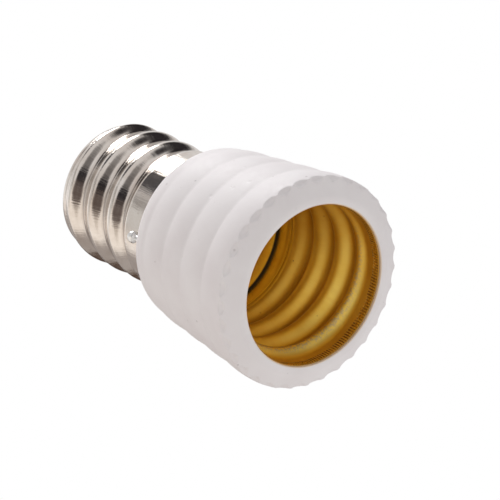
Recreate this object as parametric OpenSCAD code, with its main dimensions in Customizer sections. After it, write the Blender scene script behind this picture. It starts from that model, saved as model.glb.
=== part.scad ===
// Lamp socket adapter: a small screw base that carries a larger lamp socket.
// It stands on its mouth. Z = 0 is the plane of the mouth, +Z runs up to the tip contact,
// and +X passes through the wire that links the two shells.

/* [Socket] */
// Greatest inside diameter of the lamp thread
socket_thread_d = 13.98; // [13.6:0.02:14.6]
// Height of the thread's ridges
socket_ridge = 0.74; // [0.4:0.02:0.9]
// Pitch of the lamp thread
socket_pitch = 2.822; // [2.5:0.001:3.2]
// Depth from the mouth to the inner floor
socket_depth = 13; // [12:0.1:16]
// Height of the plain band between the edge and the thread
mouth_band = 1.35; // [0.8:0.05:1.8]
// How far the shell's edge lies behind the mouth
edge_drop = 0.25; // [0.1:0.05:0.6]
// How far the plain cup below the thread lies inside the plain band
cup_step = 0.39; // [0.2:0.01:0.7]
// Height of the plain cup below the thread
cup_height = 0.9; // [0.7:0.05:1.5]
// Inner radius of the bend from the cup to its floor
cup_bend = 0.4; // [0.25:0.05:0.6]
// Diameter of the hole in the shell's floor
floor_hole_d = 8.4; // [8:0.1:9]
// Thickness of the socket's sheet brass
socket_sheet = 0.2; // [0.15:0.01:0.25]

/* [Body] */
// Wall from the socket pocket to the tips of the flutes
rim_wall = 2; // [1.8:0.05:2.8]
// How far the first groove lies inside the tips of the flutes
collar_drop = 0.42; // [0.3:0.01:0.6]
// Wall from the socket pocket to the last groove, before the shoulder
neck_wall = 0.42; // [0.35:0.01:0.9]
// How far the flute tips lie behind the mouth
rim_set_back = 0.88; // [0.7:0.02:1.2]
// Width of the flat ring that the part stands on
stand_ring = 0.25; // [0.2:0.01:0.4]
// Radius of the mouth's inner edge
mouth_round = 0.15; // [0.08:0.01:0.25]
// Number of flutes round the rim
flute_count = 34; // [24:1:40]
// Depth of a flute
flute_depth = 0.38; // [0.2:0.02:0.5]
// Width of the land left between two flutes
flute_land = 0.12; // [0.06:0.01:0.3]
// How far a flute runs back along the wall from the tips
flute_run = 0.9; // [0.6:0.05:2]
// How far the wall swells between two grooves
belly_rise = 0.15; // [0.12:0.01:0.3]
// How far the shoulder swells over its chord
shoulder_rise = 0.45; // [0.3:0.01:0.6]
// Thickness of the wall between the socket and the base
partition = 2; // [1.6:0.1:3]
// Clearance between the spigot and the base shell round it
spigot_play = 0.03; // [0.02:0.01:0.3]

/* [Base] */
// Greatest outside diameter of the base's thread
base_thread_d = 12; // [11.8:0.01:12.2]
// Height of the base thread's ridges
base_ridge = 0.5; // [0.3:0.01:0.55]
// Pitch of the base thread
base_pitch = 2.72; // [2.4:0.01:2.8]
// Length of the base's threaded part
base_thread_length = 8.8; // [6:0.05:10]
// Height of the first full thread's crest, on +X, above the skirt's edge
base_crest_rise = 4.76; // [3.7:0.02:6]
// How far the plain skirt lies inside the thread's crests
skirt_step = 0.05; // [0.02:0.01:0.15]
// Length of the plain skirt
skirt_length = 2.5; // [2:0.05:4]
// How far the shoulder covers the skirt
skirt_cover = 0.45; // [0.3:0.05:0.6]
// How far the plain end, before it curls in, lies inside the thread's crests
end_step = 0.45; // [0.4:0.01:0.6]
// Outer radius of the curl at the tip
curl_radius = 0.7; // [0.5:0.05:0.8]
// Width of the flat lip inside the curl
curl_lip = 0.25; // [0.1:0.05:0.4]
// Thickness of the base's sheet metal
base_sheet = 0.22; // [0.15:0.01:0.24]

/* [Contacts] */
// Height of the insulating nose above the base shell
nose_height = 1.05; // [0.8:0.05:1.6]
// Diameter of the nose's end
nose_end_d = 5.8; // [5.2:0.1:6.4]
// Diameter of the tip contact
tip_contact_d = 4.8; // [4:0.1:5.2]
// Height of the tip contact's dome
tip_contact_height = 1.4; // [1:0.05:1.8]
// Diameter of the pin that joins the two centre contacts
pin_d = 2; // [1.6:0.05:2.2]
// Diameter of the pin's clinched head
pin_head_d = 3.4; // [2.8:0.1:3.6]
// Height of the pin's clinched head
pin_head_height = 0.5; // [0.3:0.05:0.7]
// Width of the contact leaf
leaf_width = 3.6; // [2.6:0.1:4]
// Thickness of the contact leaf
leaf_sheet = 0.3; // [0.2:0.02:0.35]
// Distance from the axis to the leaf's bend
leaf_bend_place = 2.4; // [2.2:0.05:2.6]
// Inner radius of the leaf's bend
leaf_bend = 0.45; // [0.4:0.02:0.6]
// Length of the leaf's arm
leaf_arm = 3.6; // [3:0.1:4]
// Slope of the leaf's arm
leaf_slope = 18; // [10:1:22]
// Radius of the curl at the leaf's free end
leaf_curl = 0.9; // [0.6:0.05:1.2]
// Diameter of the wire that links the two shells
wire_d = 0.55; // [0.4:0.01:0.6]
// Length of the wire's foot under the socket shell
wire_foot = 1.1; // [0.6:0.05:1.2]
// How far the wire stands out of the shoulder
wire_stand = 0.55; // [0.4:0.05:0.9]
// Diameter of the solder bead
bead_d = 1.1; // [1:0.05:1.4]

/* [Hidden] */
// Clearance round a shell that is pressed home
press_gap = 0.01;
// Clearance round the skirt, the wire and the pin
seat_gap = 0.05;
// How far a cutting shape runs past the face that it cuts
overrun = 1;
// Facets of the threaded shells, round the axis and along one turn of thread
shell_sides = 36;
shell_slices = 8;
// Facets of a curl or a bend in those shells
bend_steps = 3;
// Roundness of true circles
round_fn = 96;
// Places of the four grooves, as shares of the length from the mouth to the end of the shoulder
groove_place_share = [0.256, 0.473, 0.658, 0.843];
// Angle from +X to the first flute
flute_angle = 5.2;
// Lengths over which the two threads fade in and out, as shares of their pitch
socket_run_share = 0.5;
base_run_share = 0.3;
// Height of the lamp thread's ridge on +X, as a share of the pitch
socket_ridge_share = 0.27;

pocket_r = socket_thread_d / 2 + socket_sheet + press_gap;
pocket_z = socket_depth + socket_sheet;
cup_r = socket_thread_d / 2 - cup_step;
seat_z = pocket_z + partition;
shoulder_z = seat_z + skirt_cover;
skirt_r = base_thread_d / 2 - skirt_step;
seat_r = skirt_r + seat_gap;

rim_r = pocket_r + rim_wall;
flute_root_r = rim_r - flute_depth;
collar_r = rim_r - collar_drop;
neck_r = pocket_r + neck_wall;
stand_r = pocket_r + mouth_round + stand_ring;
flute_chord = 2 * PI * rim_r / flute_count - flute_land;
flute_r = pow(flute_chord, 2) / (8 * flute_depth) + flute_depth / 2;
flute_face_z = rim_set_back * (flute_root_r - stand_r) / (rim_r - stand_r);

base_thread_z = seat_z + skirt_length;
curl_z = base_thread_z + base_thread_length;
base_end_r = base_thread_d / 2 - end_step;
curl_r = base_end_r - curl_radius;
base_end_z = curl_z + curl_radius;
base_hole_r = curl_r - curl_lip;
nose_z = base_end_z + nose_height;
spigot_r = base_thread_d / 2 - max(base_ridge, end_step) - base_sheet - spigot_play;

wire_r = wire_d / 2;
wire_place = skirt_r + seat_gap + wire_r;
wire_bend = wire_d;
wire_top = shoulder_z + wire_stand;

$fn = round_fn;

// Radius of the wall at a groove: a straight taper from the collar to the neck
function taper_r(place) =
    let (first = groove_place_share[0], last = groove_place_share[3])
    collar_r + (neck_r - collar_r) * (place - first) / (last - first);

// Share of full thread at a height: it fades in and out over a run at each end
function fade(z, low, high, run) =
    let (s = max(0, min(1, (z - low) / run, (high - z) / run)))
    s * s * (3 - 2 * s);

// Half profile from the axis to an arc that joins two [radius, height] points and swells by a rise
module belly(low, high, rise) {
    chord = norm(high - low);
    arc_r = (pow(chord, 2) / 4 + pow(rise, 2)) / (2 * rise);
    along = (high - low) / chord;
    center = (low + high) / 2 + [along[1], -along[0]] * (rise - arc_r);
    intersection() {
        translate(center) circle(arc_r);
        translate([0, low[1]]) square([rim_r + overrun, high[1] - low[1]]);
    }
}

// Front face: a narrow flat ring to stand on, then a cone back to the sharp edge of the flute tips
module face_profile() {
    polygon([[0, 0], [stand_r, 0], [rim_r, rim_set_back], [0, rim_set_back]]);
}

module body_profile() {
    places = groove_place_share;
    stations = concat(
        [[rim_r, rim_set_back]],
        [for (s = places) [taper_r(s), s * shoulder_z]],
        [[seat_r, shoulder_z]]
    );
    last = len(stations) - 2;
    face_profile();
    for (i = [0 : last])
        belly(stations[i], stations[i + 1], i == last ? shoulder_rise : belly_rise);
}

// Pocket for the socket shell: a bore, a taper to the cup and a flat floor, with a rounded mouth
module pocket_profile() {
    floor_r = cup_r + socket_sheet + seat_gap;
    taper_z = socket_depth - cup_height;
    bend = cup_bend;
    difference() {
        union() {
            translate([0, -overrun]) square([pocket_r, taper_z + overrun]);
            polygon([
                [0, taper_z], [pocket_r, taper_z], [floor_r, socket_depth - bend],
                [floor_r, pocket_z - bend], [floor_r - bend, pocket_z], [0, pocket_z]
            ]);
            translate([0, -overrun]) square([pocket_r + mouth_round, mouth_round + overrun]);
        }
        translate([pocket_r + mouth_round, mouth_round]) circle(mouth_round);
    }
}

// Flutes that notch the rim's edge: each is a cone that dies out in the wall behind the tips
module flutes() {
    reach = rim_set_back + flute_run + overrun;
    fall = flute_depth / (rim_set_back + flute_run - flute_face_z);
    for (i = [0 : flute_count - 1])
        rotate([0, 0, flute_angle + 360 * i / flute_count])
            translate([flute_root_r + flute_r, 0, -overrun])
                cylinder(
                    r1 = flute_r + fall * (flute_face_z + overrun),
                    r2 = flute_r - fall * (reach - flute_face_z),
                    h = reach + overrun
                );
}

// Spigot that fills the base, stepped to pass the curl, and the nose that carries the tip contact
module spigot_profile() {
    curl_inside_z = base_end_z - base_sheet;
    nose_r = base_hole_r - seat_gap;
    polygon([
        [0, seat_z - skirt_cover], [spigot_r, seat_z - skirt_cover],
        [spigot_r, curl_z - base_sheet], [nose_r, curl_inside_z - seat_gap],
        [nose_r, base_end_z], [nose_end_d / 2, nose_z], [0, nose_z]
    ]);
}

// Wire: a foot under the socket shell's floor, a bend and a straight run beside the skirt
module wire(r) {
    turn = wire_place - wire_bend;
    level = pocket_z + wire_r;
    rotate([90, 0, 0]) translate([turn, level + wire_bend, 0]) rotate(-90)
        rotate_extrude(angle = 90) translate([wire_bend, 0]) circle(r);
    translate([turn, 0, level]) rotate([0, -90, 0]) cylinder(r = r, h = wire_foot);
    translate([wire_place, 0, level + wire_bend])
        cylinder(r = r, h = wire_top - level - wire_bend);
}

module body() {
    color("whitesmoke") difference() {
        union() {
            difference() {
                rotate_extrude() body_profile();
                translate([0, 0, seat_z]) cylinder(r = seat_r, h = skirt_cover + overrun);
            }
            rotate_extrude() spigot_profile();
        }
        rotate_extrude() pocket_profile();
        flutes();
        cylinder(r = pin_d / 2 + seat_gap, h = nose_z + overrun);
        wire_channel();
    }
}

// Open channel for the wire: a trough in the pocket's floor and a square hole through the partition
module wire_channel() {
    half = wire_r + seat_gap;
    inner = wire_place - wire_bend - wire_foot - seat_gap;
    bend_inner = wire_place - wire_bend - seat_gap;
    reach = wire_place + half;
    translate([inner, -half, pocket_z - overrun])
        cube([reach - inner, 2 * half, overrun + wire_d + seat_gap]);
    translate([bend_inner, -half, pocket_z])
        cube([reach - bend_inner, 2 * half, wire_r + wire_bend + seat_gap]);
    translate([wire_place - half, -half, pocket_z])
        cube([2 * half, 2 * half, shoulder_z - pocket_z + overrun]);
}

// Closed sleeve through a loop of rings, up its outside and down its inside.
// A ring is [plain radius, height, share of thread, offset], and a thread is
// [mean radius, half its height, pitch, height of a crest on +X].
module sleeve(loop, thread) {
    n = len(loop);
    points = [
        for (p = loop, k = [0 : shell_sides - 1])
            let (
                a = 360 * k / shell_sides,
                wave = thread[0] + thread[1] * cos(360 * (p[1] - thread[3]) / thread[2] - a),
                r = p[0] * (1 - p[2]) + wave * p[2] + p[3]
            ) [r * cos(a), r * sin(a), p[1]]
    ];
    faces = [
        for (j = [0 : n - 1], k = [0 : shell_sides - 1])
            let (
                up = (j + 1) % n,
                on = (k + 1) % shell_sides,
                a = j * shell_sides + k,
                b = j * shell_sides + on,
                c = up * shell_sides + on,
                d = up * shell_sides + k
            ) each [[a, d, c], [a, c, b]]
    ];
    polyhedron(points, faces);
}

function reversed(list) = [for (i = [len(list) - 1 : -1 : 0]) list[i]];

// Rings of a threaded stretch, from plain to thread and back to plain, fading over a run at each end
function thread_rings(low_r, high_r, low, high, pitch, run, offset) =
    let (n = ceil((high - low) / pitch * shell_slices))
    [for (i = [0 : n])
        let (z = low + (high - low) * i / n)
        [i < n / 2 ? low_r : high_r, z, fade(z, low, high, run), offset]];

// Rings of a quarter bend about a centre [radius, height]
function bend_rings(center, r) =
    [for (i = [1 : bend_steps])
        let (a = 90 * i / bend_steps)
        [center[0] + r * cos(a), center[1] + r * sin(a), 0, 0]];

// Socket shell: rolled thread in thin brass, drawn in to a cup with a flat floor
module socket_shell() {
    band_r = socket_thread_d / 2;
    thread_low = edge_drop + mouth_band;
    thread_high = socket_depth - cup_height;
    run = socket_pitch * socket_run_share;
    thread = [band_r - socket_ridge / 2, -socket_ridge / 2, socket_pitch, socket_pitch * socket_ridge_share];
    center = [cup_r - cup_bend, socket_depth - cup_bend];
    floor_r = floor_hole_d / 2;
    outside = concat(
        [[band_r, edge_drop, 0, socket_sheet]],
        thread_rings(band_r, cup_r, thread_low, thread_high, socket_pitch, run, socket_sheet),
        [[cup_r, center[1], 0, socket_sheet]],
        bend_rings(center, cup_bend + socket_sheet),
        [[floor_r, pocket_z, 0, 0]]
    );
    inside = concat(
        [[band_r, edge_drop, 0, 0]],
        thread_rings(band_r, cup_r, thread_low, thread_high, socket_pitch, run, 0),
        [[cup_r, center[1], 0, 0]],
        bend_rings(center, cup_bend),
        [[floor_r, socket_depth, 0, 0]]
    );
    color("goldenrod") sleeve(concat(outside, reversed(inside)), thread);
}

// Base shell: a plain skirt, rolled thread and an end that curls in round the nose
module base_shell() {
    thread_r = base_thread_d / 2;
    run = base_pitch * base_run_share;
    crest_z = seat_z + base_crest_rise;
    thread = [thread_r - base_ridge / 2, base_ridge / 2, base_pitch, crest_z];
    center = [curl_r, curl_z];
    outside = concat(
        [[skirt_r, seat_z, 0, 0]],
        thread_rings(skirt_r, base_end_r, base_thread_z, curl_z, base_pitch, run, 0),
        bend_rings(center, curl_radius),
        [[base_hole_r, base_end_z, 0, 0]]
    );
    inside = concat(
        [[skirt_r, seat_z, 0, -base_sheet]],
        thread_rings(skirt_r, base_end_r, base_thread_z, curl_z, base_pitch, run, -base_sheet),
        bend_rings(center, curl_radius - base_sheet),
        [[base_hole_r, base_end_z - base_sheet, 0, 0]]
    );
    color("silver") sleeve(concat(outside, reversed(inside)), thread);
}

// Pin from the tip contact's dome, through the body, to a head clinched over the leaf
module center_pin() {
    r = tip_contact_d / 2;
    dome_r = (pow(r, 2) + pow(tip_contact_height, 2)) / (2 * tip_contact_height);
    foot_z = pocket_z - leaf_sheet;
    color("gainsboro") union() {
        intersection() {
            translate([0, 0, nose_z + tip_contact_height - dome_r]) sphere(dome_r);
            translate([0, 0, nose_z]) cylinder(r = r, h = tip_contact_height);
        }
        translate([0, 0, foot_z]) cylinder(r = pin_d / 2, h = nose_z - foot_z);
        translate([0, 0, foot_z - pin_head_height]) cylinder(r = pin_head_d / 2, h = pin_head_height);
    }
}

// A bend in the leaf: part of a ring, drawn flat
module leaf_ring(inner_r, sweep) {
    rotate_extrude(angle = sweep) translate([inner_r, 0]) square([leaf_sheet, leaf_width]);
}

// Contact leaf: a foot under the pin's head, a bend, and an arm that slopes down over the axis
module contact_leaf() {
    foot_end = pin_head_d / 2 + seat_gap;
    sweep = 180 - leaf_slope;
    bend_out = leaf_bend + leaf_sheet;
    color("darkgoldenrod") difference() {
        translate([0, leaf_width / 2, 0]) rotate([90, 0, 0]) {
            translate([-leaf_bend_place, pocket_z - leaf_sheet, 0])
                cube([leaf_bend_place + foot_end, leaf_sheet, leaf_width]);
            translate([-leaf_bend_place, pocket_z - bend_out, 0]) {
                rotate(90) leaf_ring(leaf_bend, sweep);
                rotate(-leaf_slope) {
                    translate([0, -bend_out, 0]) cube([leaf_arm, leaf_sheet, leaf_width]);
                    translate([leaf_arm, leaf_curl - leaf_bend, 0])
                        rotate(-90) leaf_ring(leaf_curl, 2 * leaf_slope);
                }
            }
        }
        translate([0, 0, pocket_z - leaf_sheet - overrun / 2])
            cylinder(r = pin_d / 2, h = leaf_sheet + overrun);
    }
}

module link_wire() {
    color("gainsboro") wire(wire_r);
}

// Solder bead that joins the wire's end to the skirt, beside the shoulder
module solder_bead() {
    color("lightgray") difference() {
        translate([wire_place, 0, wire_top]) sphere(bead_d / 2);
        translate([0, 0, seat_z]) cylinder(r = skirt_r, h = skirt_length);
        wire(wire_r);
    }
}

body();
socket_shell();
base_shell();
center_pin();
contact_leaf();
link_wire();
solder_bead();
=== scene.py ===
import math

import bmesh
import bpy
from mathutils import Matrix, Vector, noise


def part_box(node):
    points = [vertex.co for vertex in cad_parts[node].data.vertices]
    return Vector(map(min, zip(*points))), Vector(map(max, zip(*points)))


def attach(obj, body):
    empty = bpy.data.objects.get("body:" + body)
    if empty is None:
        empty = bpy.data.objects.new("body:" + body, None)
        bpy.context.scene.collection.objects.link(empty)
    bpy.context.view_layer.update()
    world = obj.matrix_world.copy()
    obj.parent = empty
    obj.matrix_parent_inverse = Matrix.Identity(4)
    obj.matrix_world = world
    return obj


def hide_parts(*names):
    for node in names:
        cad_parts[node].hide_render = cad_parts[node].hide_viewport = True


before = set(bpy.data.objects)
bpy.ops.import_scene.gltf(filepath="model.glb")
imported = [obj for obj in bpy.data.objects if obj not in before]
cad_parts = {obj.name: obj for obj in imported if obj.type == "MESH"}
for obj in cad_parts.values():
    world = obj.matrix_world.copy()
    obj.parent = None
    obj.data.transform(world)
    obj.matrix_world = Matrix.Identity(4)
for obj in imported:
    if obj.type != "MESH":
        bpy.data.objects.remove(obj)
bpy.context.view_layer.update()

MM = 0.001
TURN = 2 * math.pi

# The photograph: its size and focal length in pixels, where the mouth's centre lies, and the scale there
PHOTO_SIZE = 500
FOCAL_PX = 20000
MOUTH_PX = (314.2, 285.8)
PX_PER_MM = 12.14
SENSOR = 36
# How far the mouth's axis leans from the line of sight, how far it falls below the picture's
# horizontal, and how far the link wire lies round from the side that faces the camera
AXIS_LEAN = math.radians(43.4)
AXIS_FALL = math.radians(26.15)
AXIS_SPIN = math.radians(28.15)

# Heights and radii of the frame, in millimetres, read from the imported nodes
_, BODY_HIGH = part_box("body")
SOCKET_LOW, SOCKET_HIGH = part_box("socket_shell")
BASE_LOW, BASE_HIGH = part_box("base_shell")
PIN_LOW, PIN_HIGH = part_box("center_pin")
BEAD_LOW, BEAD_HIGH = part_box("solder_bead")

NOSE_Z = BODY_HIGH.z / MM
EDGE_Z = SOCKET_LOW.z / MM
POCKET_Z = SOCKET_HIGH.z / MM
SEAT_Z = BASE_LOW.z / MM
BASE_END_Z = BASE_HIGH.z / MM
PIN_FOOT_Z = PIN_LOW.z / MM
TIP_Z = PIN_HIGH.z / MM

# Sizes that the frame's boxes don't give, the same as the solids' own, in millimetres
CLEARANCE = 0.05
SOCKET_SHEET = 0.2
SOCKET_BAND_R = 6.99
SOCKET_RIDGE = 0.74
SOCKET_PITCH = 2.822
SOCKET_RIDGE_Z = 0.762
SOCKET_THREAD = (1.6, 12.1)
SOCKET_RUN_OUT = 0.5 * SOCKET_PITCH
CUP_R = 6.6
CUP_BEND = 0.4
FLOOR_HOLE_R = 4.2

BASE_SHEET = 0.22
BASE_R = 6.0
BASE_RIDGE = 0.5
BASE_PITCH = 2.72
BASE_CREST_Z = 19.96
BASE_THREAD = (17.7, 26.5)
BASE_RUN_OUT = 0.3 * BASE_PITCH
SKIRT_R = 5.95
BASE_END_R = 5.55
BASE_CURL = 0.7
BASE_LIP = 0.25

POCKET_R = 7.2
POCKET_TAPER = 0.5
STAND_R = 7.6
RIM_R = 9.2
RIM_SET_BACK = 0.88
FLUTES = 34
FLUTE_ANGLE = math.radians(5.2)
SHOULDER_Z = 15.65
GROOVES = [(8.78, 4.006), (8.351, 7.402), (7.986, 10.298), (7.62, 13.193)]
BELLY_RISE = 0.15
SHOULDER_RISE = 0.45
SEAT_R = 6.0
SPIGOT_R = 5.25
NOSE_END_R = 2.9
PIN_R = 1.0
PIN_HEAD_R = 1.7
PIN_HEAD_HEIGHT = 0.5
PIN_HEAD_ROUND = 0.15
TIP_CONTACT_R = 2.4

# Sizes that differ from the solids', for a nearer likeness: the flutes, the lip of plastic over
# the socket shell's edge, the unevenness of the wall, and how full the bead of solder is
FLUTE_DEPTH = 0.36
FLUTE_LAND = 0.05
FLUTE_RUN = 0.25
MOUTH_LIP_R = 7.03
MOUTH_LIP = 0.2
MOUTH_ROUND = 0.1
WALL_UNEVEN = 0.012
WALL_UNEVEN_SCALE = 260
BEAD_FILL = 0.96
BEAD_LUMP = 0.12
BEAD_LUMP_SCALE = 1.7
BEAD_LUMP_START = Vector((3, 1, 7))

# Serrated bead on the socket shell's edge: its ripples, how far it stands in front of the band at
# its face and its top, behind the band and out of its end, and how high it runs up the wall
SERRATIONS = 180
SERRATION_DEPTH = 0.06
SERRATED_FRONT = 0.05
SERRATED_TOP = 0.01
SERRATED_BACK = 0.04
SERRATED_OUT = 0.04
SERRATED_HEIGHT = 0.85
SERRATED_ROUND = 0.1
SERRATED_FADE = 0.3
SERRATED_WOBBLE = 0.4
SERRATED_WOBBLES = 9
SERRATED_BIAS = 0.8

# How finely the meshes are cut: rows along the axis, in millimetres, and columns round it
FACE_ROW = 0.3
FLUTE_ROW = 0.04
POCKET_ROW = 2.0
RIM_SWELL_ROWS = 40
SWELL_ROWS = 12
FLUTE_COLUMNS = 20
SOCKET_BAND_ROW = 0.3
SOCKET_ROW = 0.12
SOCKET_COLUMNS = 200
SKIRT_ROW = 0.4
BASE_ROW = 0.11
BASE_COLUMNS = 180
BEND_ROWS = 8
SERRATED_ROWS = 6
SERRATION_COLUMNS = 5
DOME_ROWS = 18
PIN_COLUMNS = 72
CORNER_ROWS = 4
LIP_ROWS = 5
MERGE_DISTANCE = 1e-7

# Lengths that masks in materials are measured over, in millimetres
RADIUS_SPAN = 10.0
SOCKET_SPAN = 20.0
BASE_SPAN = 40.0
MOUTH_SPAN = 1.0
SERRATED_SPAN = 2.0
# Whole turns added to keep a place along a thread positive
THREAD_LEAD = 40


# Node helpers

def link(tree, a, out, b, into):
    tree.links.new(a.outputs[out], b.inputs[into])


def add(tree, kind, **settings):
    node = tree.nodes.new(kind)
    for key, value in settings.items():
        setattr(node, key, value)
    return node


def math_node(tree, operation, a, b=None, clamp=False):
    """A Math node on sockets or plain numbers, which returns its output socket."""
    node = add(tree, "ShaderNodeMath", operation=operation, use_clamp=clamp)
    for slot, value in zip(node.inputs, (a, b)):
        if value is None:
            continue
        if isinstance(value, (int, float)):
            slot.default_value = value
        else:
            tree.links.new(value, slot)
    return node.outputs[0]


def product(tree, value, *others):
    for other in others:
        value = math_node(tree, "MULTIPLY", value, other)
    return value


def ramp(tree, value, stops):
    """A ColorRamp with [(place, grey or colour)] stops, which returns its colour socket."""
    node = add(tree, "ShaderNodeValToRGB")
    elements = node.color_ramp.elements
    while len(elements) < len(stops):
        elements.new(0.5)
    for element, (place, colour) in zip(elements, stops):
        element.position = place
        rgb = (colour,) * 3 if isinstance(colour, (int, float)) else colour
        element.color = (*rgb, 1)
    tree.links.new(value, node.inputs[0])
    return node.outputs[0]


def mix_colour(tree, factor, a, b):
    """Mix of two colours, each a socket or an RGB triple, which returns its colour socket."""
    node = add(tree, "ShaderNodeMix", data_type="RGBA", blend_type="MIX")
    for slot, value in ((node.inputs["Factor"], factor), (node.inputs[6], a), (node.inputs[7], b)):
        if isinstance(value, (int, float)):
            slot.default_value = value
        elif isinstance(value, tuple):
            slot.default_value = (*value, 1)
        else:
            tree.links.new(value, slot)
    return node.outputs[2]


def noise_node(tree, vector, scale, detail=2.0, rough=0.5):
    node = add(tree, "ShaderNodeTexNoise")
    node.inputs["Scale"].default_value = scale
    node.inputs["Detail"].default_value = detail
    node.inputs["Roughness"].default_value = rough
    tree.links.new(vector, node.inputs["Vector"])
    return node.outputs["Fac"]


def new_group(name, sockets_in, sockets_out):
    """A shader node group with float or vector sockets, and its two end nodes."""
    group = bpy.data.node_groups.new(name, "ShaderNodeTree")
    for socket, kind, value in sockets_in:
        made = group.interface.new_socket(socket, in_out="INPUT", socket_type=kind)
        if value is not None:
            made.default_value = value
    for socket, kind in sockets_out:
        group.interface.new_socket(socket, in_out="OUTPUT", socket_type=kind)
    return group, group.nodes.new("NodeGroupInput"), group.nodes.new("NodeGroupOutput")


def use_group(tree, group, vector, **values):
    node = add(tree, "ShaderNodeGroup", node_tree=group)
    tree.links.new(vector, node.inputs["Vector"])
    for key, value in values.items():
        node.inputs[key].default_value = value
    return node


VECTOR = "NodeSocketVector"
FLOAT = "NodeSocketFloat"


def make_speck_group():
    """Tiny scattered dots: Mask is 1 on a dot, and Size and Amount set how large and how many."""
    group, start, end = new_group(
        "fine_specks",
        [("Vector", VECTOR, None), ("Scale", FLOAT, 900.0), ("Size", FLOAT, 0.12), ("Amount", FLOAT, 0.3)],
        [("Mask", FLOAT)],
    )
    cells = add(group, "ShaderNodeTexVoronoi", feature="F1")
    link(group, start, "Vector", cells, "Vector")
    link(group, start, "Scale", cells, "Scale")
    colour = add(group, "ShaderNodeSeparateColor")
    link(group, cells, "Color", colour, "Color")
    chosen = math_node(group, "LESS_THAN", colour.outputs["Red"], start.outputs["Amount"])
    varied = math_node(group, "ADD", colour.outputs["Green"], 0.35)
    size = product(group, start.outputs["Size"], varied)
    edge = math_node(group, "DIVIDE", cells.outputs["Distance"], size)
    dot = math_node(group, "SUBTRACT", 1.4, edge, clamp=True)
    group.links.new(product(group, dot, chosen), end.inputs["Mask"])
    return group


def make_turned_group():
    """Radius and height in millimetres and angle in turns, for marks left by drawing and rolling."""
    group, start, end = new_group(
        "about_the_axis",
        [("Vector", VECTOR, None)],
        [("Radius", FLOAT), ("Height", FLOAT), ("Angle", FLOAT)],
    )
    parts = add(group, "ShaderNodeSeparateXYZ")
    link(group, start, "Vector", parts, "Vector")
    x, y, z = (parts.outputs[i] for i in range(3))
    squares = math_node(group, "ADD", product(group, x, x), product(group, y, y))
    radius = math_node(group, "SQRT", squares)
    angle = math_node(group, "ARCTAN2", y, x)
    for name, value, unit in (("Radius", radius, MM), ("Height", z, MM), ("Angle", angle, TURN)):
        group.links.new(math_node(group, "DIVIDE", value, unit), end.inputs[name])
    return group


SPECKS = make_speck_group()
TURNED = make_turned_group()


def new_material(name, colour, roughness, metallic=0.0):
    """A Principled material, its tree, shader and Object coordinates."""
    made = bpy.data.materials.new(name)
    made.use_nodes = True
    made.diffuse_color = (*colour, 1)
    tree = made.node_tree
    shader = tree.nodes["Principled BSDF"]
    shader.inputs["Base Color"].default_value = (*colour, 1)
    shader.inputs["Roughness"].default_value = roughness
    shader.inputs["Metallic"].default_value = metallic
    coords = add(tree, "ShaderNodeTexCoord").outputs["Object"]
    return made, tree, shader, coords


def bump(tree, shader, height, distance, strength):
    """Bump from a height socket, with its distance in millimetres."""
    node = add(tree, "ShaderNodeBump")
    node.inputs["Strength"].default_value = strength
    node.inputs["Distance"].default_value = distance * MM
    tree.links.new(height, node.inputs["Height"])
    link(tree, node, "Normal", shader, "Normal")


def streak_noise(tree, turned, round_scale, along_scale):
    """Noise drawn out along the axis: round_scale cells round the turn and along_scale per millimetre."""
    place = add(tree, "ShaderNodeCombineXYZ")
    for axis, out, scale in (("X", "Angle", round_scale), ("Y", "Height", along_scale)):
        tree.links.new(product(tree, turned.outputs[out], scale), place.inputs[axis])
    return noise_node(tree, place.outputs[0], 1.0, 3, 0.6)


def place_mask(tree, turned, out, span, stops):
    """A mask by Radius or Height, with [(millimetres, level)] stops between 0 and span."""
    share = math_node(tree, "DIVIDE", turned.outputs[out], span)
    return ramp(tree, share, [(place / span, level) for place, level in stops])


def mottled(tree, blotches, end, pale, deep):
    """Two tones mixed by a noise, which turns from the pale one to the deep one by its value end."""
    return mix_colour(tree, ramp(tree, blotches, [(0.35, 0.0), (end, 1.0)]), pale, deep)


def overlaid(tree, base, mask, share, colour):
    """The base colour with a share of another one where the mask is."""
    return mix_colour(tree, product(tree, mask, share), base, colour)


def speck_mask(tree, coords, scale, size, amount):
    return use_group(tree, SPECKS, coords, Scale=scale, Size=size, Amount=amount).outputs["Mask"]


def thread_share(tree, turned, start_z, pitch):
    """How far round one turn of a thread a point lies, from 0 to 1, with the crest at 0.5."""
    turns = math_node(tree, "DIVIDE", math_node(tree, "SUBTRACT", turned.outputs["Height"], start_z), pitch)
    lead = math_node(tree, "ADD", turns, THREAD_LEAD + 0.5)
    return math_node(tree, "FRACT", math_node(tree, "SUBTRACT", lead, turned.outputs["Angle"]))


# Materials

def white_plastic():
    """Satin plastic with pits and specks, and a painted orange reflection of the brass on the mouth's inner
    edge.
    """
    made, tree, shader, coords = new_material("moulded_white_plastic", (0.84, 0.8, 0.805), 0.42)
    base = mottled(tree, noise_node(tree, coords, 260, 3), 0.7, (0.9, 0.865, 0.87), (0.85, 0.805, 0.812))
    base = overlaid(tree, base, speck_mask(tree, coords, 1500.0, 0.13, 0.09), 0.45, (0.36, 0.31, 0.3))
    turned = use_group(tree, TURNED, coords)
    # Painted reflection: an orange glow of light from the brass, laid on the plastic's inner edge at the
    # mouth
    low = place_mask(tree, turned, "Height", MOUTH_SPAN, [(0.1, 1.0), (0.3, 0.0)])
    inner = place_mask(tree, turned, "Radius", RADIUS_SPAN, [(7.06, 1.0), (7.16, 0.0)])
    base = overlaid(tree, base, product(tree, low, inner), 0.5, (0.8, 0.5, 0.16))
    tree.links.new(base, shader.inputs["Base Color"])
    grain = noise_node(tree, coords, 2600, 3)
    tree.links.new(ramp(tree, grain, [(0.3, 0.48), (0.7, 0.62)]), shader.inputs["Roughness"])
    pits = speck_mask(tree, coords, 1100.0, 0.16, 0.16)
    bump(tree, shader, math_node(tree, "SUBTRACT", product(tree, grain, 0.35), pits), 0.03, 0.6)
    return made


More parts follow.
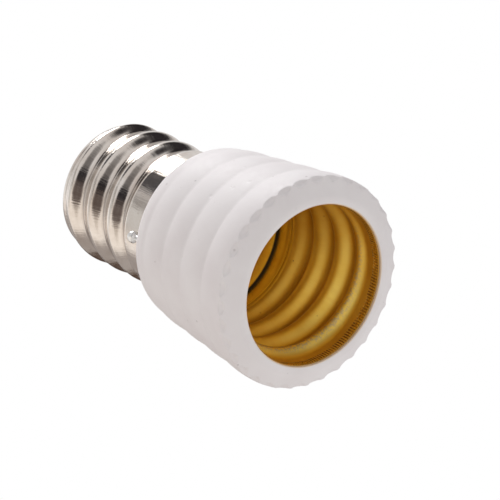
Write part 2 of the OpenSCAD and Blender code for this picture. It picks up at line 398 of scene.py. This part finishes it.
def brass_sheet():
    """Rolled brass with painted shade beside the ridges and on the edge at the mouth, a painted dark shadow
    in the floor's corner, and a duller, greyer crest on the first ridge.
    """
    made, tree, shader, coords = new_material("rolled_brass_sheet", (0.95, 0.66, 0.14), 0.4, 1.0)
    turned = use_group(tree, TURNED, coords)
    streaks = streak_noise(tree, turned, 260, 0.5)
    base = mottled(tree, noise_node(tree, coords, 420, 4, 0.6), 0.65, (0.97, 0.69, 0.15), (0.93, 0.62, 0.11))
    base = mix_colour(tree, ramp(tree, streaks, [(0.4, 0.0), (0.75, 0.2)]), base, (0.86, 0.54, 0.1))
    share = thread_share(tree, turned, SOCKET_RIDGE_Z, SOCKET_PITCH)
    # Painted shade: dark lines in the creases beside each ridge of the thread
    crease = ramp(tree, share, [
        (0.0, 0.45), (0.1, 0.0), (0.68, 0.0), (0.71, 0.9),
        (0.735, 0.0), (0.76, 0.0), (0.785, 0.9), (0.81, 0.45),
    ])
    threaded = place_mask(tree, turned, "Height", SOCKET_SPAN, [
        (1.8, 0.0), (2.4, 1.0), (11.4, 1.0), (12.2, 0.0),
    ])
    base = overlaid(tree, base, product(tree, crease, threaded), 0.8, (0.36, 0.19, 0.03))
    # Painted shadow: near-black in the corner where the wall bends into the floor
    corner = place_mask(tree, turned, "Height", SOCKET_SPAN, [(12.7, 0.0), (12.84, 1.0)])
    outer = place_mask(tree, turned, "Radius", RADIUS_SPAN, [(6.22, 0.0), (6.32, 1.0)])
    base = mix_colour(tree, product(tree, corner, outer), base, (0.03, 0.02, 0.01))
    # Painted shade: the shell's edge at the mouth darkened to a dim orange
    edge = place_mask(tree, turned, "Height", SOCKET_SPAN, [(0.26, 0.85), (0.34, 0.0)])
    base = mix_colour(tree, edge, base, (0.5, 0.27, 0.05))
    first = place_mask(tree, turned, "Height", SOCKET_SPAN, [(2.0, 0.0), (2.4, 1.0), (4.0, 1.0), (4.6, 0.0)])
    crest = ramp(tree, share, [(0.3, 0.0), (0.42, 1.0), (0.58, 1.0), (0.66, 0.0)])
    grit = ramp(tree, noise_node(tree, coords, 5200, 2), [(0.42, 0.0), (0.58, 1.0)])
    base = overlaid(tree, base, product(tree, first, crest, grit), 0.75, (0.58, 0.44, 0.26))
    base = overlaid(tree, base, speck_mask(tree, coords, 1300.0, 0.11, 0.06), 0.7, (0.25, 0.08, 0.03))
    tree.links.new(base, shader.inputs["Base Color"])
    tree.links.new(ramp(tree, streaks, [(0.3, 0.38), (0.75, 0.48)]), shader.inputs["Roughness"])
    bump(tree, shader, streaks, 0.006, 0.15)
    return made


def serrated_brass():
    """The socket shell's rolled edge, with painted shade in the grooves between its serrations and on its
    front face.
    """
    made, tree, shader, coords = new_material("serrated_brass_edge", (0.9, 0.66, 0.2), 0.3, 1.0)
    turned = use_group(tree, TURNED, coords)
    # Painted shade in each groove between the serrations, patchy where the noise is low; the same noise sets
    # the roughness
    groove_shade = math_node(tree, "FRACT", product(tree, turned.outputs["Angle"], SERRATIONS))
    groove_shade = ramp(tree, groove_shade, [(0.0, 0.0), (0.2, 0.0), (0.35, 1.0), (0.65, 1.0), (0.8, 0.0), (1.0, 0.0)])
    patchy_shade_and_roughness = ramp(tree, noise_node(tree, coords, 900, 3), [(0.38, 0.1), (0.58, 1.0)])
    base = mix_colour(tree, product(tree, groove_shade, patchy_shade_and_roughness), (0.97, 0.72, 0.22), (0.3, 0.15, 0.03))
    # Painted shade: the bead's front face at the mouth darkened to a dim orange
    front = place_mask(tree, turned, "Height", SERRATED_SPAN, [(0.28, 1.0), (0.36, 0.0)])
    base = mix_colour(tree, front, base, (0.5, 0.27, 0.06))
    tree.links.new(base, shader.inputs["Base Color"])
    tree.links.new(ramp(tree, patchy_shade_and_roughness, [(0.0, 0.2), (1.0, 0.4)]), shader.inputs["Roughness"])
    return made


def nickel_plate():
    """Bright plate with drawn streaks, tarnish, and painted shade in the thread's valleys."""
    made, tree, shader, coords = new_material("nickel_plated_sheet", (0.78, 0.73, 0.68), 0.16, 1.0)
    turned = use_group(tree, TURNED, coords)
    streaks = streak_noise(tree, turned, 300, 0.6)
    base = mottled(tree, noise_node(tree, coords, 380, 4, 0.6), 0.7, (0.75, 0.7, 0.65), (0.61, 0.54, 0.48))
    share = thread_share(tree, turned, BASE_CREST_Z, BASE_PITCH)
    # Painted shade: the thread's valleys darkened
    valley = ramp(tree, share, [(0.0, 1.0), (0.04, 0.4), (0.12, 0.0), (0.88, 0.0), (0.96, 0.4), (1.0, 1.0)])
    threaded = place_mask(tree, turned, "Height", BASE_SPAN, [
        (17.68, 0.0), (18.08, 1.0), (25.8, 1.0), (26.4, 0.0),
    ])
    base = overlaid(tree, base, product(tree, valley, threaded), 0.6, (0.2, 0.14, 0.11))
    base = overlaid(tree, base, speck_mask(tree, coords, 1400.0, 0.12, 0.1), 0.6, (0.3, 0.24, 0.2))
    tree.links.new(base, shader.inputs["Base Color"])
    tree.links.new(ramp(tree, streaks, [(0.3, 0.07), (0.75, 0.18)]), shader.inputs["Roughness"])
    drawn = streak_noise(tree, turned, 150, 0.12)
    bump(tree, shader, math_node(tree, "ADD", streaks, drawn), 0.02, 0.5)
    return made


def grainy_metal(name, colour, roughness, scale, pale, deep, depth):
    """Plain metal in two tones, with a fine grain whose depth is in millimetres."""
    made, tree, shader, coords = new_material(name, colour, roughness, 1.0)
    grain = noise_node(tree, coords, scale, 3)
    tree.links.new(mottled(tree, grain, 0.7, pale, deep), shader.inputs["Base Color"])
    bump(tree, shader, grain, depth, 0.5)
    return made


def spring_bronze():
    return grainy_metal(
        "phosphor_bronze_strip", (0.74, 0.5, 0.22), 0.3, 900, (0.76, 0.52, 0.23), (0.66, 0.41, 0.16), 0.01)


def tinned():
    return grainy_metal(
        "tin_and_solder", (0.82, 0.82, 0.81), 0.38, 1500, (0.88, 0.88, 0.87), (0.76, 0.75, 0.73), 0.012)


# Mesh helpers

def arc_between(low, high, rise, count):
    """Points from low to just before high, in millimetres, on an arc that swells outward by rise."""
    a, b = Vector(low), Vector(high)
    chord = (b - a).length
    radius = (chord ** 2 / 4 + rise ** 2) / (2 * rise)
    along = (b - a) / chord
    centre = (a + b) / 2 + Vector((along.y, -along.x)) * (rise - radius)
    start = math.atan2(a.y - centre.y, a.x - centre.x)
    sweep = 2 * math.asin(chord / 2 / radius)
    return [
        (centre.x + radius * math.cos(start + sweep * i / count),
         centre.y + radius * math.sin(start + sweep * i / count))
        for i in range(count)
    ]


def bend_about(centre, radius, start, end, count):
    """Points on an arc about a centre, from the angle start to end in degrees, both included."""
    return [
        (centre[0] + radius * math.cos(math.radians(start + (end - start) * i / count)),
         centre[1] + radius * math.sin(math.radians(start + (end - start) * i / count)))
        for i in range(count + 1)
    ]


def straight(a, b, step):
    """Points from a to just before b, about step apart."""
    count = max(1, round(math.dist(a, b) / step))
    return [(a[0] + (b[0] - a[0]) * i / count, a[1] + (b[1] - a[1]) * i / count) for i in range(count)]


def spin_about_axis(bm, verts, closed, columns):
    """Joins the vertices in a line or loop, spins it about the axis and closes the seam."""
    ends = verts[1:] + verts[:1] if closed else verts[1:]
    edges = [bm.edges.new(pair) for pair in zip(verts, ends)]
    bmesh.ops.spin(
        bm, geom=verts + edges, cent=(0, 0, 0), axis=(0, 0, 1), angle=TURN, steps=columns,
        use_merge=True, use_duplicate=False,
    )
    bmesh.ops.remove_doubles(bm, verts=bm.verts, dist=MERGE_DISTANCE)


def spin_profile(points, columns, closed, shape=None):
    """A bmesh spun from [radius, height] points in millimetres. shape(vert) moves each vertex."""
    bm = bmesh.new()
    spin_about_axis(bm, [bm.verts.new((r * MM, 0, z * MM)) for r, z in points], closed, columns)
    if shape:
        for vert in bm.verts:
            shape(vert)
    bmesh.ops.recalc_face_normals(bm, faces=bm.faces)
    return bm


def finish_piece(bm, name, material, nodes=(), sharp=35):
    """Makes the bmesh an object that rides on the part, smooth but for edges sharper than the angle."""
    limit = math.radians(sharp)
    for face in bm.faces:
        face.smooth = True
    for edge in bm.edges:
        edge.smooth = len(edge.link_faces) != 2 or edge.calc_face_angle(0) < limit
    mesh = bpy.data.meshes.new(name)
    bm.to_mesh(mesh)
    bm.free()
    mesh.materials.append(material)
    piece = bpy.data.objects.new(name, mesh)
    bpy.context.scene.collection.objects.link(piece)
    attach(piece, "root")
    if nodes:
        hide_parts(*nodes)


def polar(vert):
    """A vertex's radius and height in millimetres, and its angle."""
    return math.hypot(vert.co.x, vert.co.y) / MM, vert.co.z / MM, math.atan2(vert.co.y, vert.co.x)


def set_radius(vert, radius, angle):
    vert.co.x = radius * MM * math.cos(angle)
    vert.co.y = radius * MM * math.sin(angle)


def fade(z, low, high, run):
    """A share that rises smoothly from 0 at low to 1, and falls back to 0 at high."""
    s = max(0.0, min(1.0, (z - low) / run, (high - z) / run))
    return s * s * (3 - 2 * s)


# Body

FLUTE_PITCH = TURN / FLUTES
FLUTE_CHORD = TURN * RIM_R / FLUTES - FLUTE_LAND
FLUTE_R = FLUTE_CHORD ** 2 / (8 * FLUTE_DEPTH) + FLUTE_DEPTH / 2
FLUTE_ROOT_R = RIM_R - FLUTE_DEPTH
FLUTE_FACE_Z = RIM_SET_BACK * (FLUTE_ROOT_R - STAND_R) / (RIM_R - STAND_R)
FLUTE_END_Z = RIM_SET_BACK + FLUTE_RUN
# How far a flute's columns move towards its tips, as a share of its pitch
FLUTE_DRAW = 0.11


def flute_limit(z, off):
    """Radius of a flute's surface at a height, and at an angle from the flute's middle."""
    share = max(0.0, (z - FLUTE_FACE_Z) / (FLUTE_END_Z - FLUTE_FACE_Z))
    radius = FLUTE_R - FLUTE_DEPTH * share ** 2
    centre = FLUTE_ROOT_R + FLUTE_R
    side = centre * math.sin(off)
    if radius < abs(side):
        return math.inf
    return centre * math.cos(off) - math.sqrt(radius ** 2 - side ** 2)


def shape_body(vert):
    """Cuts the flutes, with the columns drawn together at the tips, and leaves the wall faintly uneven."""
    r, z, angle = polar(vert)
    share = (angle / FLUTE_PITCH) % 1
    drawn = (share - FLUTE_DRAW * math.sin(TURN * share)) * FLUTE_PITCH
    angle += drawn - share * FLUTE_PITCH
    if r > STAND_R and z < SHOULDER_Z:
        r = min(r, flute_limit(z, drawn - FLUTE_PITCH / 2))
        r += WALL_UNEVEN * noise.noise(vert.co * WALL_UNEVEN_SCALE) * min(1.0, z / RIM_SET_BACK)
    set_radius(vert, r, angle + FLUTE_ANGLE - FLUTE_PITCH / 2)


def make_body(material):
    floor_r = CUP_R + SOCKET_SHEET + CLEARANCE
    bore_r = PIN_R + CLEARANCE
    nose_r = BASE_END_R - BASE_CURL - BASE_LIP - CLEARANCE
    taper_z = SOCKET_THREAD[1]
    outline = [(bore_r, POCKET_Z), (floor_r - CUP_BEND, POCKET_Z), (floor_r, POCKET_Z - CUP_BEND)]
    outline += [(floor_r, taper_z + POCKET_TAPER), (POCKET_R, taper_z)]
    outline += straight((POCKET_R, taper_z - POCKET_TAPER), (POCKET_R, MOUTH_LIP), POCKET_ROW)
    outline += [(POCKET_R, MOUTH_LIP), (MOUTH_LIP_R, MOUTH_LIP)]
    outline += bend_about((MOUTH_LIP_R + MOUTH_ROUND, MOUTH_ROUND), MOUTH_ROUND, 180, 270, LIP_ROWS)
    outline += straight((STAND_R, 0), (FLUTE_ROOT_R, FLUTE_FACE_Z), FACE_ROW)
    outline += straight((FLUTE_ROOT_R, FLUTE_FACE_Z), (RIM_R, RIM_SET_BACK), FLUTE_ROW)
    outline += arc_between((RIM_R, RIM_SET_BACK), GROOVES[0], BELLY_RISE, RIM_SWELL_ROWS)
    for low, high in zip(GROOVES, GROOVES[1:]):
        outline += arc_between(low, high, BELLY_RISE, SWELL_ROWS)
    outline += arc_between(GROOVES[-1], (SEAT_R, SHOULDER_Z), SHOULDER_RISE, SWELL_ROWS)
    outline += [(SEAT_R, SHOULDER_Z), (SEAT_R, SEAT_Z), (SPIGOT_R, SEAT_Z)]
    outline += [(SPIGOT_R, BASE_THREAD[1] - BASE_SHEET), (nose_r, BASE_END_Z - BASE_SHEET - CLEARANCE)]
    outline += [(nose_r, BASE_END_Z), (NOSE_END_R, NOSE_Z), (bore_r, NOSE_Z)]
    bm = spin_profile(outline, FLUTES * FLUTE_COLUMNS, True, shape_body)
    finish_piece(bm, "moulded_body", material, ["body"], 50)


# Shells

def band_rows(r, low, high, step):
    """Rows of a plain band, as (radius, height, share of thread, offset)."""
    return [(r, z, 0, 0) for _, z in straight((0, low), (0, high), step)]


def thread_rows(low, high, side_r, run, step, offset):
    """Rows of a threaded stretch, whose plain radius differs before its middle and after it."""
    count = round((high - low) / step)
    made = []
    for i in range(count + 1):
        z = low + (high - low) * i / count
        plain = side_r[0] if i < count / 2 else side_r[1]
        made.append((plain + offset, z, fade(z, low, high, run), offset))
    return made


def make_sleeve(rows, wave, columns):
    """A spun sleeve from rows as band_rows gives them, with the thread's wave rolled in."""
    bm = bmesh.new()
    share = bm.verts.layers.float.new("share")
    offset = bm.verts.layers.float.new("offset")
    verts = []
    for r, z, s, o in rows:
        vert = bm.verts.new((r * MM, 0, z * MM))
        vert[share], vert[offset] = s, o
        verts.append(vert)
    spin_about_axis(bm, verts, True, columns)
    for vert in bm.verts:
        s = vert[share]
        if s > 0:
            r, z, angle = polar(vert)
            set_radius(vert, r * (1 - s) + (wave(z, angle) + vert[offset]) * s, angle)
    bmesh.ops.recalc_face_normals(bm, faces=bm.faces)
    return bm


def base_wave(z, angle):
    turn = TURN * (z - BASE_CREST_Z) / BASE_PITCH - angle
    return BASE_R - BASE_RIDGE / 2 + BASE_RIDGE / 2 * math.cos(turn)


def socket_wave(z, angle):
    turn = TURN * (z - SOCKET_RIDGE_Z) / SOCKET_PITCH - angle
    return SOCKET_BAND_R - SOCKET_RIDGE / 2 - SOCKET_RIDGE / 2 * math.cos(turn)


def make_base_shell(material):
    centre = (BASE_END_R - BASE_CURL, BASE_THREAD[1])
    side_r = (SKIRT_R, BASE_END_R)

    def face(offset):
        rows = band_rows(SKIRT_R + offset, SEAT_Z, BASE_THREAD[0], SKIRT_ROW)
        rows += thread_rows(*BASE_THREAD, side_r, BASE_RUN_OUT, BASE_ROW, offset)
        rows += [(r, z, 0, 0) for r, z in bend_about(centre, BASE_CURL + offset, 0, 90, BEND_ROWS)[1:]]
        rows.append((centre[0] - BASE_LIP, BASE_END_Z + offset, 0, 0))
        return rows

    bm = make_sleeve(face(0) + face(-BASE_SHEET)[::-1], base_wave, BASE_COLUMNS)
    finish_piece(bm, "plated_base_shell", material, ["base_shell"], 50)


def make_socket_shell(material):
    floor_z = POCKET_Z - SOCKET_SHEET
    centre = (CUP_R - CUP_BEND, floor_z - CUP_BEND)
    side_r = (SOCKET_BAND_R, CUP_R)

    def face(offset):
        rows = band_rows(SOCKET_BAND_R + offset, EDGE_Z, SOCKET_THREAD[0], SOCKET_BAND_ROW)
        rows += thread_rows(*SOCKET_THREAD, side_r, SOCKET_RUN_OUT, SOCKET_ROW, offset)
        rows += [(r, z, 0, 0) for r, z in bend_about(centre, CUP_BEND + offset, 0, 90, BEND_ROWS)]
        rows.append((FLOOR_HOLE_R, floor_z + offset, 0, 0))
        return rows

    bm = make_sleeve(face(SOCKET_SHEET) + face(0)[::-1], socket_wave, SOCKET_COLUMNS)
    finish_piece(bm, "rolled_socket_shell", material, ["socket_shell"], 50)


def make_serrated_edge(material):
    """A bead of fine ripples on the socket shell's edge, which lines the mouth."""
    face_r = SOCKET_BAND_R - SERRATED_FRONT
    top_r = SOCKET_BAND_R - SERRATED_TOP
    back_r = SOCKET_BAND_R + SERRATED_BACK
    low = EDGE_Z - SERRATED_OUT
    top = low + SERRATED_HEIGHT
    start = low + SERRATED_ROUND
    reach = SERRATED_HEIGHT - 2 * SERRATED_ROUND
    outline = bend_about((face_r + SERRATED_ROUND, start), SERRATED_ROUND, 270, 180, CORNER_ROWS)
    outline += [(face_r, start + reach * i / SERRATED_ROWS) for i in range(1, SERRATED_ROWS + 1)]
    outline += [(top_r, top), (back_r, top), (back_r, low)]

    def ripple(vert):
        r, z, angle = polar(vert)
        if r < (top_r + back_r) / 2:
            wobble = SERRATED_WOBBLE * noise.noise(Vector((angle * SERRATED_WOBBLES, z, 0)))
            wave = SERRATED_BIAS + math.cos(angle * SERRATIONS + wobble)
            set_radius(vert, r - SERRATION_DEPTH * fade(z, low, top, SERRATED_FADE) * wave / 2, angle)

    bm = spin_profile(outline, SERRATIONS * SERRATION_COLUMNS, True, ripple)
    finish_piece(bm, "serrated_socket_edge", material, (), 60)


# Contacts

def make_center_pin(material):
    head_z = PIN_FOOT_Z + PIN_HEAD_HEIGHT
    height = TIP_Z - NOSE_Z
    dome_r = (TIP_CONTACT_R ** 2 + height ** 2) / (2 * height)
    sweep = math.degrees(math.asin(TIP_CONTACT_R / dome_r))
    corner = (PIN_HEAD_R - PIN_HEAD_ROUND, PIN_FOOT_Z + PIN_HEAD_ROUND)
    outline = [(0, PIN_FOOT_Z)] + bend_about(corner, PIN_HEAD_ROUND, 270, 360, CORNER_ROWS)
    outline += [(PIN_HEAD_R, head_z), (PIN_R, head_z), (PIN_R, NOSE_Z), (TIP_CONTACT_R, NOSE_Z)]
    outline += bend_about((0, TIP_Z - dome_r), dome_r, 90 - sweep, 90, DOME_ROWS)[1:]
    bm = spin_profile(outline, PIN_COLUMNS, False)
    finish_piece(bm, "tip_contact_and_pin", material, ["center_pin"])


def make_solder(material):
    centre = (BEAD_LOW + BEAD_HIGH) / 2
    half = (BEAD_HIGH - BEAD_LOW) / 2
    bm = bmesh.new()
    bmesh.ops.create_icosphere(bm, subdivisions=4, radius=1.0)
    for vert in bm.verts:
        lump = 1 + BEAD_LUMP * noise.noise(vert.co * BEAD_LUMP_SCALE + BEAD_LUMP_START)
        vert.co = Vector(a * b for a, b in zip(vert.co * lump, half * BEAD_FILL)) + centre
    finish_piece(bm, "solder_lump", material, ["solder_bead"])


# Studio

LAMP_AIM = Vector((0, 0, 13 * MM))
FLOOR_HALF = 1.5
FLOOR_DROP = 0.05 * MM


def camera_frame():
    """The camera's right, up and back directions in the part's frame."""
    back = Vector((
        math.sin(AXIS_LEAN) * math.cos(AXIS_SPIN),
        math.sin(AXIS_LEAN) * math.sin(AXIS_SPIN),
        -math.cos(AXIS_LEAN),
    ))
    mouth = Vector((0, 0, -1))
    along = (mouth - back * mouth.dot(back)).normalized()
    across = back.cross(along)
    right = along * math.cos(AXIS_FALL) + across * math.sin(AXIS_FALL)
    return right, back.cross(right), back


def make_camera():
    right, up, back = camera_frame()
    distance = FOCAL_PX / PX_PER_MM * MM
    aside = (MOUTH_PX[0] - PHOTO_SIZE / 2) / PX_PER_MM * MM
    above = (PHOTO_SIZE / 2 - MOUTH_PX[1]) / PX_PER_MM * MM
    data = bpy.data.cameras.new("photo_camera")
    data.sensor_width = SENSOR
    data.lens = SENSOR * FOCAL_PX / PHOTO_SIZE
    data.clip_start, data.clip_end = 0.01, 10
    camera = bpy.data.objects.new("photo_camera", data)
    turned = Matrix((right, up, back)).transposed().to_4x4()
    camera.matrix_world = Matrix.Translation(back * distance - right * aside - up * above) @ turned
    bpy.context.scene.collection.objects.link(camera)
    bpy.context.scene.camera = camera


def area_lamp(name, direction, distance, size, level):
    """A square lamp that points at the part. level is what it adds to a white surface that faces it."""
    data = bpy.data.lights.new(name, "AREA")
    data.size = size
    data.energy = level * math.pi ** 2 * distance ** 2
    lamp = bpy.data.objects.new(name, data)
    direction = direction.normalized()
    lamp.location = LAMP_AIM + direction * distance
    lamp.rotation_mode = "QUATERNION"
    lamp.rotation_quaternion = direction.to_track_quat("Z", "Y")
    bpy.context.scene.collection.objects.link(lamp)


def make_lights():
    right, up, back = camera_frame()
    area_lamp("key_softbox", up * 0.87 - right * 0.25 - back * 0.43, distance=0.3, size=0.13, level=0.48)
    area_lamp("side_softbox", back * -0.3 - right * 0.85 - up * 0.45, distance=0.4, size=0.7, level=0.33)


# What the metal sees round it, over the studio's own colour: a direction in the camera's right, up
# and back, the angles where the patch is full and where it ends, and its colour
STUDIO = (0.83, 0.82, 0.825)
WHITE = (1.0, 1.0, 1.0)
DARK = (0.03, 0.027, 0.03)
PATCHES = [
    ((-0.8, -0.55, 0.2), 15, 60, (0.78, 0.71, 0.64)),
    ((0.62, -0.45, 0.6), 20, 50, (0.66, 0.64, 0.61)),
    ((-0.4, -0.5, -0.77), 19, 32, (0.11, 0.075, 0.06)),
    ((-0.3, -0.9, -0.3), 18, 30, (0.13, 0.09, 0.07)),
    ((-0.97, 0.15, -0.12), 12, 30, (0.4, 0.39, 0.38)),
    ((-0.6, 0.78, -0.17), 11, 19, (0.1, 0.1, 0.11)),
    ((0.42, 0.72, -0.5), 14, 25, DARK),
    ((0.52, 0.76, 0.12), 14, 27, DARK),
    ((0.15, 0.72, 0.68), 9, 19, DARK),
    ((-0.07, 0.7, 0.7), 9, 17, (0.3, 0.29, 0.29)),
    ((-0.3, 0.52, 0.8), 7, 16, (0.2, 0.19, 0.19)),
    ((-0.58, 0.22, 0.78), 10, 18, DARK),
    ((-0.72, -0.16, 0.68), 2, 24, (0.14, 0.11, 0.1)),
]


def make_world():
    """A pale studio with bright and dark patches, which the camera sees as plain white."""
    frame_axes = camera_frame()
    world = bpy.data.worlds.new("white_studio")
    bpy.context.scene.world = world
    world.use_nodes = True
    tree = world.node_tree
    shade = tree.nodes["Background"]
    view = add(tree, "ShaderNodeTexCoord").outputs["Generated"]
    colour = STUDIO
    for place, full, end, tone in PATCHES:
        direction = sum((axis * part for axis, part in zip(frame_axes, place)), Vector()).normalized()
        near = add(tree, "ShaderNodeVectorMath", operation="DOT_PRODUCT")
        tree.links.new(view, near.inputs[0])
        near.inputs[1].default_value = direction
        spread = add(tree, "ShaderNodeMapRange", interpolation_type="SMOOTHSTEP")
        tree.links.new(near.outputs["Value"], spread.inputs["Value"])
        spread.inputs["From Min"].default_value = math.cos(math.radians(end))
        spread.inputs["From Max"].default_value = math.cos(math.radians(full))
        colour = mix_colour(tree, spread.outputs["Result"], colour, tone)
    path = add(tree, "ShaderNodeLightPath")
    seen = math_node(tree, "MAXIMUM", path.outputs["Is Camera Ray"], path.outputs["Is Transmission Ray"])
    tree.links.new(mix_colour(tree, seen, colour, WHITE), shade.inputs["Color"])
    shade.inputs["Strength"].default_value = 1.0


def make_floor():
    """A white floor that only the camera sees, and only from above, so it hides nothing from below."""
    bm = bmesh.new()
    bmesh.ops.create_grid(bm, x_segments=1, y_segments=1, size=FLOOR_HALF)
    bmesh.ops.translate(bm, verts=bm.verts, vec=(0, 0, -FLOOR_DROP))
    mesh = bpy.data.meshes.new("studio_floor")
    bm.to_mesh(mesh)
    bm.free()
    made = bpy.data.materials.new("studio_white")
    made.use_nodes = True
    tree = made.node_tree
    shader = tree.nodes["Principled BSDF"]
    shader.inputs["Base Color"].default_value = (0.9, 0.9, 0.9, 1)
    shader.inputs["Roughness"].default_value = 0.9
    shader.inputs["Specular IOR Level"].default_value = 0.0
    shader.inputs["Emission Color"].default_value = (*WHITE, 1)
    shader.inputs["Emission Strength"].default_value = 0.35
    clear = add(tree, "ShaderNodeBsdfTransparent")
    side = add(tree, "ShaderNodeNewGeometry")
    mixed = add(tree, "ShaderNodeMixShader")
    link(tree, side, "Backfacing", mixed, "Fac")
    link(tree, shader, "BSDF", mixed, 1)
    link(tree, clear, "BSDF", mixed, 2)
    link(tree, mixed, "Shader", tree.nodes["Material Output"], "Surface")
    mesh.materials.append(made)
    floor = bpy.data.objects.new("studio_floor", mesh)
    bpy.context.scene.collection.objects.link(floor)
    floor.visible_diffuse = floor.visible_glossy = floor.visible_transmission = floor.visible_shadow = False


def dress_node(name, material):
    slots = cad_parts[name].data.materials
    slots.clear()
    slots.append(material)


make_camera()
make_lights()
make_world()
make_floor()

plastic = white_plastic()
brass = brass_sheet()
nickel = nickel_plate()
bronze = spring_bronze()
tin = tinned()

make_body(plastic)
make_socket_shell(brass)
make_serrated_edge(serrated_brass())
make_base_shell(nickel)
make_center_pin(nickel)
make_solder(tin)
dress_node("contact_leaf", bronze)
dress_node("link_wire", tin)

bpy.context.scene.view_settings.view_transform = "Standard"
